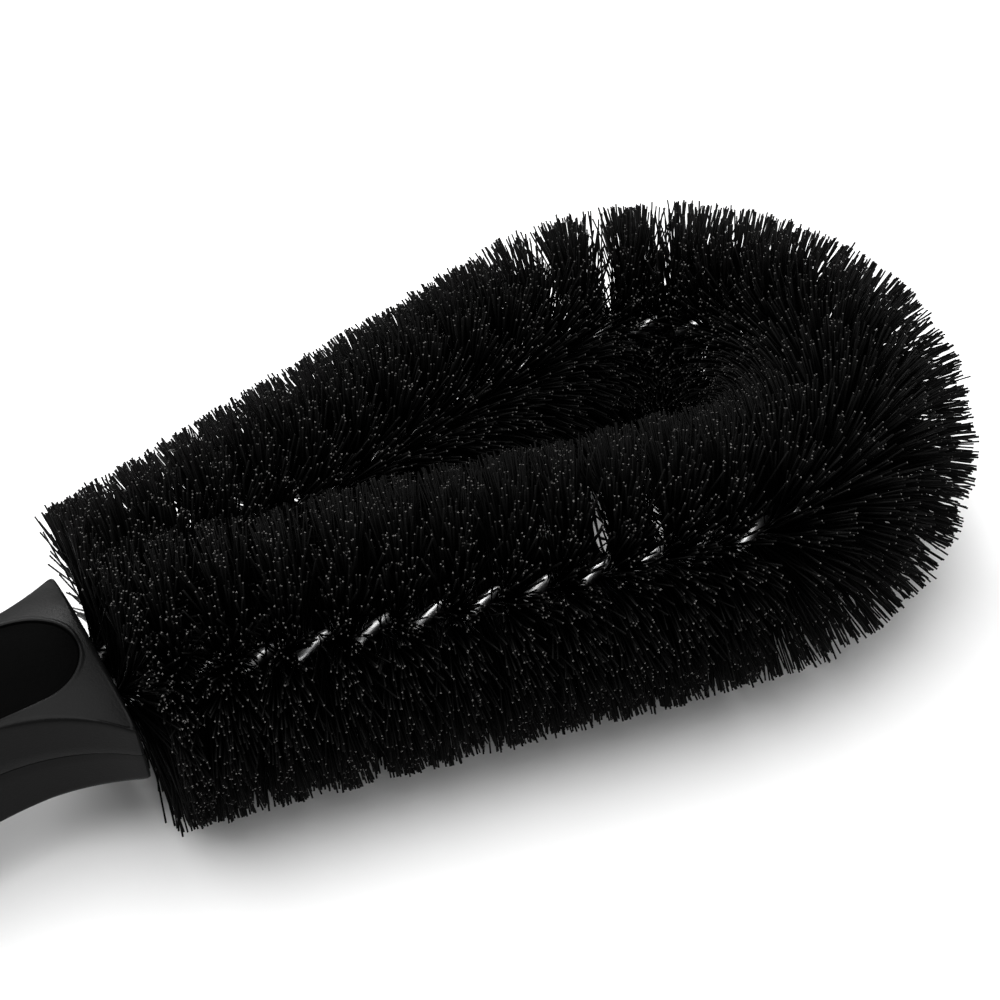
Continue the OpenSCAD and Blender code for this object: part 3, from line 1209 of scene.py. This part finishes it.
@dataclass
class Handle:
    """Two shells, two soft pads and the hang eyelet."""

    length: float = 150.0
    flare_w: float = 43.0
    waist_w: float = 24.0
    waist_pos: float = 23.0
    grip_w: float = 32.0
    grip_h: float = 26.0
    flare_h: float = 19.0
    swell_pos: float = 82.0
    crown_pos: float = 62.0
    crown_r: float = 60.0
    wall: float = 3.0
    front_wall: float = 3.4
    pad_w: float = 25.0
    pad_end_r: float = 9.8
    pad_front: float = 2.4
    pad_back: float = 34.0
    pocket: float = 1.6
    lip: float = 0.35
    edge_r: float = 1.15
    hang_r: float = 3.5
    wire_y: float = 5.5
    wire_spread: float = 0.2442
    around: int = 360
    finer: int = 8
    front_points: int = 120
    waist_points: int = 240
    swell_points: int = 700
    tail_points: int = 160
    top_rings: int = 26
    corner_r: float = 1.1
    tail_solid: float = 7.0
    seam: float = 0.2
    seam_in: float = 0.22
    seam_round: float = 0.06
    roof_drop: float = 0.6
    edge_share: float = 0.42
    bead_w: float = 1.0
    bead_share: float = 0.5
    pocket_round: float = 0.2
    pocket_gap: float = 0.04
    shell_map: float = 0.94
    pad_gap: float = 0.06
    pad_lift: float = 0.04
    pad_skirt: float = 0.75
    pad_edge: float = 0.38
    pad_edge_share: float = 0.035
    pad_dome: float = 0.55
    rib_from: float = 44.0
    rib_to: float = 98.0
    rib_fade: float = 6.0
    rib_pitch: float = 4.8
    rib_depth: float = 0.5
    rib_bend: float = 0.05
    rib_clear: float = 0.12
    rib_ramp: float = 0.2
    rim_r: float = 6.5
    tube_r: float = 4.6
    flange_seat_r: float = 6.7
    barrel_r: float = 4.65
    screw_x: float = 7.0
    screw_y: float = 12.6
    screw_sunk: float = 0.9
    screw_head_r: float = 2.9
    screw_head_h: float = 1.4
    screw_hole_r: float = 1.65
    screw_past: float = 2.0
    wire_way_r: float = 3.1
    wire_way_half: float = 8.0
    past: float = 20.0
    end_play: float = 1e-6

    # the bead round the pocket: share of its width, height over the face, wear
    BEAD = (
        (0.78, 0.05, 0.3), (0.56, 0.11, 0.7), (0.36, 0.13, 1.0), (0.18, 0.07, 1.0), (0.05, -0.05, 0.8),
    )

    def __post_init__(self) -> None:
        """Work out the arcs of the outlines."""
        dy = (self.flare_w - self.waist_w) / 2
        self.flare_r = (self.waist_pos**2 + dy**2) / (2 * dy)
        swell_dx = self.swell_pos - self.waist_pos
        swell_dy = (self.grip_w - self.waist_w) / 2
        swell_a = self.flare_r - swell_dy
        self.swell_r = (swell_dx**2 + swell_a**2 - self.flare_r**2) / (2 * swell_dy)
        self.join_x = self.waist_pos + self.flare_r * swell_dx / (self.flare_r + self.swell_r)
        self.swell_cy = self.swell_r - self.grip_w / 2
        rear = self.length - self.swell_pos
        self.end_r = (self.swell_r**2 - self.swell_cy**2 - rear**2) / (2 * (self.swell_r - rear))
        self.end_x = self.length - self.end_r
        dz = (self.grip_h - self.flare_h) / 2
        self.crown_len = (self.crown_pos**2 + dz**2) / (2 * dz)
        pad_len = self.length - self.pad_front - self.pad_back
        self.pad_mid = self.pad_front + pad_len / 2
        self.pad_half = pad_len / 2 - self.pad_end_r
        g, r = self.pad_w / 2, self.pad_end_r
        self.pad_r = (self.pad_half**2 + g**2 - r**2) / (2 * (g - r))
        self.seat_z = float(self.face_z(np.array([-self.end_x]), np.zeros(1))[0]) - 0.6

    def face_z(self, x: np.ndarray, y: np.ndarray, drop: float = 0.0) -> np.ndarray:
        """Height of the crowned face above the middle plane.

        Args:
            x: Places along the handle.
            y: Places across it.
            drop: How far under the outer face.

        Returns:
            Heights.
        """
        r = self.crown_r - drop
        arm = self.crown_len - self.crown_r + np.sqrt(np.maximum(r**2 - y**2, 1.0))
        return self.grip_h / 2 - self.crown_len + np.sqrt(arm**2 - (x + self.crown_pos) ** 2)

    @staticmethod
    def arc(cx: float, cy: float, r: float, a0: float, a1: float, n: int) -> np.ndarray:
        """Points on an arc between two angles in radians."""
        a = np.linspace(a0, a1, n)
        return np.stack([cx + r * np.cos(a), cy + r * np.sin(a)], axis=1)

    def outline(self) -> np.ndarray:
        """The handle's outline as one closed ring with softened corners.

        Returns:
            Its points, in plan.
        """
        waist = self.arc(
            -self.waist_pos,
            self.waist_w / 2 + self.flare_r,
            self.flare_r,
            math.asin(self.waist_pos / self.flare_r) - math.pi / 2,
            -math.pi / 2 - math.asin((self.join_x - self.waist_pos) / self.flare_r),
            self.waist_points,
        )
        tail_sine = (self.end_x - self.swell_pos) / (self.swell_r - self.end_r)
        tail_turn = math.pi / 2 + math.asin(tail_sine)
        swell = self.arc(
            -self.swell_pos,
            -self.swell_cy,
            self.swell_r,
            math.pi / 2 - math.asin((self.swell_pos - self.join_x) / self.swell_r),
            tail_turn,
            self.swell_points,
        )
        tail = self.arc(-self.end_x, 0.0, self.end_r, tail_turn, math.pi, self.tail_points)
        front_y = np.linspace(0.0, self.flare_w / 2, self.front_points)
        front = np.stack([np.zeros(self.front_points), front_y], axis=1)
        left = np.concatenate([front[:-1], waist[:-1], swell[:-1], tail])
        ring = np.concatenate([left, (left * [1, -1])[-2:0:-1]])
        return self.soften(ring, self.corner_r)

    @staticmethod
    def evened(ring: np.ndarray, count: int) -> np.ndarray:
        """Points at even steps round a closed ring.

        Args:
            ring: Points round the ring.
            count: How many to give.

        Returns:
            The new points.
        """
        closed = np.concatenate([ring, ring[:1]])
        steps = np.concatenate([[0.0], np.cumsum(np.linalg.norm(np.diff(closed, axis=0), axis=1))])
        at = np.linspace(0.0, steps[-1], count, endpoint=False)
        return np.stack([np.interp(at, steps, closed[:, i]) for i in range(2)], axis=1)

    def soften(self, ring: np.ndarray, radius: float) -> np.ndarray:
        """Round the corners of a closed ring.

        Args:
            ring: Points round the ring.
            radius: How far the rounding reaches.

        Returns:
            The ring at even steps.
        """
        dense = self.evened(ring, self.around * self.finer)
        step = float(np.linalg.norm(dense[1] - dense[0]))
        reach = math.ceil(3 * radius / step)
        weight = np.exp(-0.5 * (np.arange(-reach, reach + 1) * step / radius) ** 2)
        weight /= weight.sum()
        soft = np.zeros_like(dense)
        for shift, share in zip(range(-reach, reach + 1), weight):
            soft += share * np.roll(dense, shift, axis=0)
        return soft[:: self.finer]

    @staticmethod
    def spine(ring: np.ndarray, front: float, back: float) -> np.ndarray:
        """The point of the handle's middle line nearest to each point of a ring."""
        return np.stack([np.clip(ring[:, 0], -back, -front), np.zeros(len(ring))], axis=1)

    def pad_ring(self, ring: np.ndarray, grow: float = 0.0) -> tuple[np.ndarray, np.ndarray]:
        """Where lines from the middle line to the outline cross the pad's edge.

        Args:
            ring: The handle's outline.
            grow: How far outside the pad's edge.

        Returns:
            For each outline point, the place on the edge and its foot on the middle line.
        """
        near, far = self.pad_mid - self.pad_half, self.pad_mid + self.pad_half
        foot = self.spine(ring, near, far)
        way = ring - foot
        way /= np.linalg.norm(way, axis=1)[:, None]
        g, r = self.pad_w / 2, self.pad_r
        edge = np.full(len(ring), self.pad_end_r + grow)
        for i, (f, w) in enumerate(zip(foot, way)):
            if -far + self.end_play < f[0] < -near - self.end_play:
                cy = (g - r) * (1.0 if w[1] >= 0 else -1.0)
                rel = np.array([f[0] + self.pad_mid, -cy])
                b = float(rel @ w)
                edge[i] = -b + math.sqrt(b * b - float(rel @ rel) + (r + grow) ** 2)
        return foot + way * edge[:, None], foot

    def on_face(self, ring: np.ndarray, drop: float = 0.0, lift: float = 0.0, worn: float = 0.0) -> Ring:
        """Lay a ring along the crowned face.

        Args:
            ring: Its points in plan.
            drop: How far under the outer face.
            lift: How far over that.
            worn: How rubbed it is.

        Returns:
            The points, their heights and the wear.
        """
        return ring, self.face_z(ring[:, 0], ring[:, 1], drop) + lift, worn

    def stack(self, name: str, rings: Sequence[Ring], up: int, top_of_map: float) -> bpy.types.Object:
        """Skin a stack of rings that closes on the middle line at both ends.

        Args:
            name: The object's name.
            rings: Outline points, heights and wear of each ring.
            up: 1 for the upper side, -1 for the lower.
            top_of_map: How much of the bake map's height it takes.

        Returns:
            The closed skin.
        """
        layers = [np.column_stack([ring, up * height]) for ring, height, _ in rings]
        steps = [0.0]
        for a, b in zip(layers, layers[1:]):
            steps.append(steps[-1] + max(0.05, float(np.linalg.norm(b - a, axis=1).mean())))
        wear = np.repeat([worn for _, _, worn in rings], self.around)
        faces = ring_faces(len(layers), self.around)
        corners = ring_uv(steps, self.around, 0.0, top_of_map)
        return add_mesh(name, np.concatenate(layers), faces, corners, wear)

    def shell(self, name: str, up: int) -> bpy.types.Object:
        """Make one hollow shell.

        Args:
            name: The object's name.
            up: 1 for the upper shell, -1 for the lower.

        Returns:
            The shell, not yet dressed.
        """
        outer = self.outline()
        pad, foot = self.pad_ring(outer, self.pocket_gap)
        inward = pad - outer
        room = np.linalg.norm(inward, axis=1)
        inward /= room[:, None]
        round_r = np.minimum(self.edge_r, self.edge_share * room)
        bead = np.minimum(self.bead_w, self.bead_share * (room - round_r))
        hollow = outer + inward * self.wall
        hollow[:, 0] = np.clip(hollow[:, 0], -(self.end_x - self.tail_solid), -self.front_wall)
        zero = np.zeros(self.around)
        # the hollow's roof, from the middle out, then down its wall
        rings = [
            self.on_face(foot + (hollow - foot) * share, self.wall) for share in (0.0, 0.5, 0.9, 0.98)
        ]
        rings += [self.on_face(hollow, self.wall, -self.roof_drop), (hollow, zero, 0.0)]
        # the parting face, then up the outer side
        seam = self.seam
        rings += [
            (outer + inward * self.seam_in, zero, 0.0),
            (outer + inward * self.seam_round, zero + self.seam_round, 0.4),
            (outer, zero + seam, 0.3),
        ]
        start = outer + inward * round_r[:, None]
        brim = self.on_face(start)[1] - round_r
        rings += [(outer, seam + (brim - seam) * share, 0.0) for share in (0.25, 0.5, 0.75, 0.94, 1.0)]
        for turn in (18, 36, 54, 72, 90):
            a = math.radians(turn)
            ring = outer + inward * (round_r * (1 - math.cos(a)))[:, None]
            rings.append((ring, brim + round_r * math.sin(a), 1.0 if 20 < turn < 80 else 0.5))
        # across the top to the bead round the pocket
        stop = pad - inward * bead[:, None]
        for share in np.linspace(0.0, 1.0, self.top_rings)[1:]:
            rings.append(self.on_face(start + (stop - start) * share))
        for share, lift, worn in self.BEAD:
            rings.append(self.on_face(pad - inward * (bead * share)[:, None], 0.0, lift, worn))
        # down into the pocket and over its floor
        rings += [self.on_face(pad, 0.0, -self.pocket_round), self.on_face(pad, self.pocket)]
        rings += [self.on_face(pad + (foot - pad) * share, self.pocket) for share in (0.05, 0.5, 1.0)]
        return self.stack(name, rings, up, self.shell_map)

    def pad(self, name: str, up: int) -> bpy.types.Object:
        """Make one soft pad with its shallow cross ribs.

        Args:
            name: The object's name.
            up: 1 for the thumb side, -1 for the palm side.

        Returns:
            The pad, not yet dressed.
        """
        edge, foot = self.pad_ring(self.outline(), -self.pad_gap)
        to_foot = foot - edge
        under = self.pocket - self.pad_lift
        rings = [self.on_face(edge + to_foot * share, under) for share in (1.0, 0.5, 0.04, 0.0)]
        rings.append(self.on_face(edge, self.lip, -self.pad_skirt))
        rings.append(self.on_face(edge, self.lip, -self.pad_edge, 0.2))
        for turn in (30, 60, 90):
            a = math.radians(turn)
            ring = edge + to_foot * (self.pad_edge_share * (1 - math.cos(a)))
            rings.append(self.on_face(ring, self.lip, -self.pad_edge * (1 - math.sin(a)), 0.5))
        for share in np.linspace(self.pad_edge_share, 1.0, 20)[1:]:
            ring = edge + to_foot * share
            dome = self.pad_dome * (1 - (1 - share) ** 2)
            rings.append(self.on_face(ring, self.lip, dome - self.ribs(ring, share)))
        return self.stack(name, rings, up, 1.0)

    def ribs(self, ring: np.ndarray, share: float) -> np.ndarray:
        """Depth of the grooves between a pad's cross ribs.

        Args:
            ring: Points in plan.
            share: How far they lie from the pad's edge to its middle.

        Returns:
            One depth for each point.
        """
        x, y = ring[:, 0], ring[:, 1]
        fade = np.clip((share - self.rib_clear) / self.rib_ramp, 0.0, 1.0)
        start = np.clip((-x - self.rib_from) / self.rib_fade, 0, 1)
        stop = np.clip((self.rib_to + x) / self.rib_fade, 0, 1)
        wave = 0.5 - 0.5 * np.cos(2 * math.pi * (x + self.rib_bend * y**2) / self.rib_pitch)
        return self.rib_depth * fade * (start * stop) * (1 - wave**2)

    def hang_cutter(self) -> bpy.types.Object:
        """The space the eyelet takes: its hole and the seats of its flanges.

        Returns:
            The cutter.
        """
        seat = self.seat_z
        flange = [(self.flange_seat_r, self.past), (self.flange_seat_r, seat), (self.barrel_r, seat)]
        profile = [(0.0, -self.past)] + [(r, -z) for r, z in flange] + flange[::-1]
        return lathe("hang_cutter", profile + [(0.0, self.past)], (-self.end_x, 0.0), 64)

    def screw_cutter(self, side: int) -> bpy.types.Object:
        """The hole and countersink of one flare screw.

        Args:
            side: 1 for the left, -1 for the right.

        Returns:
            The cutter.
        """
        x, y = -self.screw_x, self.screw_y * side
        head = float(self.face_z(np.array([x]), np.array([y]))[0]) - self.screw_sunk
        neck = -head + self.screw_head_h
        head_r, hole_r = self.screw_head_r, self.screw_hole_r
        profile = [(0.0, -self.past), (head_r, -self.past), (head_r, -head)]
        profile += [(hole_r, neck), (hole_r, self.screw_past), (0.0, self.screw_past)]
        return lathe("screw_cutter", profile, (x, y), 48)

    def wire_cutter(self, side: int) -> bpy.types.Object:
        """The way of one wire through the front wall.

        Args:
            side: 1 for the left, -1 for the right.

        Returns:
            The cutter.
        """
        r, half = self.wire_way_r, self.wire_way_half
        cutter = lathe("wire_cutter", [(0.0, -half), (r, -half), (r, half), (0.0, half)], (0.0, 0.0), 40)
        turn = Matrix.Rotation(side * self.wire_spread, 4, "Z") @ Matrix.Rotation(math.pi / 2, 4, "Y")
        shift = Vector(PLACE) * MM
        place = Matrix.Translation(Vector((0.0, side * self.wire_y * MM, 0.0)) + shift) @ turn
        cutter.data.transform(place @ Matrix.Translation(-shift))
        return cutter

    def eyelet(self) -> bpy.types.Object:
        """Make the rolled hang eyelet.

        Returns:
            The eyelet, not yet dressed.
        """
        seat, rim, hole = self.seat_z, self.rim_r, self.hang_r
        top = seat + 1.0
        half = [(self.tube_r, 0.0), (self.tube_r, seat)]
        half += [(rim - 0.25, seat), (rim, seat + 0.25), (rim - 0.03, seat + 0.55)]
        half += [(rim - 0.4, seat + 0.85), (rim - 1.0, top), (hole + 0.9, top), (hole + 0.35, top - 0.2)]
        half += [(hole + 0.08, top - 0.6), (hole, top - 1.2), (hole, 0.0)]
        lower = [(r, -z) for r, z in half[::-1]][1:-1]
        return lathe("hang_eyelet_rolled", half + lower, (-self.end_x, 0.0), 64, (0.0, 1.0))

    def build(
        self, shell: bpy.types.Material, grip: bpy.types.Material, steel: bpy.types.Material
    ) -> None:
        """Make and dress the handle's outer pieces.

        Args:
            shell: Finish of the two shells.
            grip: Finish of the pads.
            steel: Finish of the eyelet.
        """
        upper = self.shell("upper_shell_moulded", 1)
        cut_away(upper, [self.hang_cutter(), *map(self.wire_cutter, (1, -1))])
        dress(upper, shell, ["upper_shell"])
        lower = self.shell("lower_shell_moulded", -1)
        screws = map(self.screw_cutter, (1, -1))
        cut_away(lower, [self.hang_cutter(), *map(self.wire_cutter, (1, -1)), *screws])
        dress(lower, shell, ["lower_shell"])
        dress(self.pad("thumb_pad_soft", 1), grip, ["thumb_pad"])
        dress(self.pad("palm_pad_soft", -1), grip, ["palm_pad"])
        dress(self.eyelet(), steel, ["hang_eyelet"])


@dataclass
class InnerParts:
    """CAD nodes that stay as they are and only get their finish."""

    nodes: dict[str, bpy.types.Object]
    finishes: dict[str, bpy.types.Material]

    def paint(self) -> None:
        """Put the finishes in the nodes' material slots."""
        for name, material in self.finishes.items():
            slots = self.nodes[name].data.materials
            if not slots:
                slots.append(material)
            for place in range(len(slots)):
                slots[place] = material
            log.info("%s: kept, painted %s", name, material.name)


# --- Studio ---


@dataclass
class Studio:
    """Floor, lights and camera, in metres but for the camera's place and lens."""

    camera_at: tuple[float, float, float] = (-42.18, -227.53, 255.01)
    camera_turn: tuple[float, float, float] = (47.632, 3.891, -29.249)
    lens: float = 67.53
    sensor: float = 36.0
    clip_start: float = 0.01
    floor_size: float = 8.0
    middle: tuple[float, float, float] = (0.06, 0.0, 0.02)
    sky_strength: float = 0.42

    # name, place, size and watts of each light
    SOFTBOXES = (
        ("key_softbox", (-0.02, 0.06, 0.95), 1.15, 14.5),
        ("front_fill", (0.25, -0.9, 0.7), 0.8, 1.5),
        ("rim_softbox", (0.3, 0.8, 0.55), 0.32, 4.0),
    )

    def floor(self, finish: bpy.types.Material) -> None:
        """Lay the floor.

        Args:
            finish: The floor material.
        """
        half = self.floor_size / 2
        corners = [(x * half, y * half, -FLOOR_GAP) for x, y in ((-1, -1), (1, -1), (1, 1), (-1, 1))]
        mesh = bpy.data.meshes.new("studio_floor")
        mesh.from_pydata(corners, [], [(0, 1, 2, 3)])
        mesh.materials.append(finish)
        obj = put_in_scene("studio_floor", mesh)

    def softbox(self, name: str, at: tuple[float, float, float], size: float, watts: float) -> None:
        """Hang one square area light that faces the brush.

        Args:
            name: The light's name.
            at: Its place.
            size: The length of its side.
            watts: Its power.
        """
        light = bpy.data.lights.new(name, "AREA")
        light.shape = "SQUARE"
        light.size = size
        light.energy = watts
        obj = put_in_scene(name, light)
        obj.location = at
        aim = Vector(self.middle) - Vector(at)
        obj.rotation_euler = aim.to_track_quat("-Z", "Y").to_euler()

    def sky(self) -> None:
        """Even white light from all round."""
        world = bpy.data.worlds.new("studio")
        world.use_nodes = True
        back = world.node_tree.nodes["Background"]
        back.inputs["Color"].default_value = rgba(1.0, 1.0, 1.0)
        back.inputs["Strength"].default_value = self.sky_strength
        bpy.context.scene.world = world

    def camera(self) -> None:
        """Place the camera."""
        lens = bpy.data.cameras.new("camera")
        lens.lens = self.lens
        lens.sensor_width = self.sensor
        lens.clip_start = self.clip_start
        obj = put_in_scene("camera", lens)
        obj.location = [c * MM for c in self.camera_at]
        obj.rotation_euler = Euler([math.radians(a) for a in self.camera_turn])
        bpy.context.scene.camera = obj

    def build(self, finish: bpy.types.Material) -> None:
        """Set up the studio.

        Args:
            finish: The floor material.
        """
        self.floor(finish)
        for light in self.SOFTBOXES:
            self.softbox(*light)
        self.sky()
        self.camera()
        view = bpy.context.scene.view_settings
        view.view_transform = "Standard"
        view.look = "None"
        log.info("studio set")


def main() -> None:
    """Build the brush in order."""
    logging.basicConfig(level=logging.INFO, format="%(message)s")
    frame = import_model()
    core = LoopCore()
    steel = MetalFinish("bright zinc-coated wire").build()
    TwistedWire(core).build(steel)
    BristleField(core).build(FilamentFinish("black filament").build())
    pressed = MetalFinish("pressed steel", bright=0.5, dull=0.36, rough=0.32).build()
    Handle().build(
        ShellFinish("black moulded shell").build(), GripFinish("soft black grip").build(), pressed
    )
    moulded = AnchorFinish("inner moulding").build()
    plated = MetalFinish("plated screw steel", bright=0.58, dull=0.42, rough=0.3).build()
    InnerParts(
        frame["nodes"],
        {
            "ferrule_left": pressed,
            "ferrule_right": pressed,
            "anchor_block": moulded,
            "lock_plate": moulded,
            "shell_screws": plated,
        },
    ).paint()
    Studio().build(FloorFinish("white paper").build())


if __name__ == "__main__":
    main()
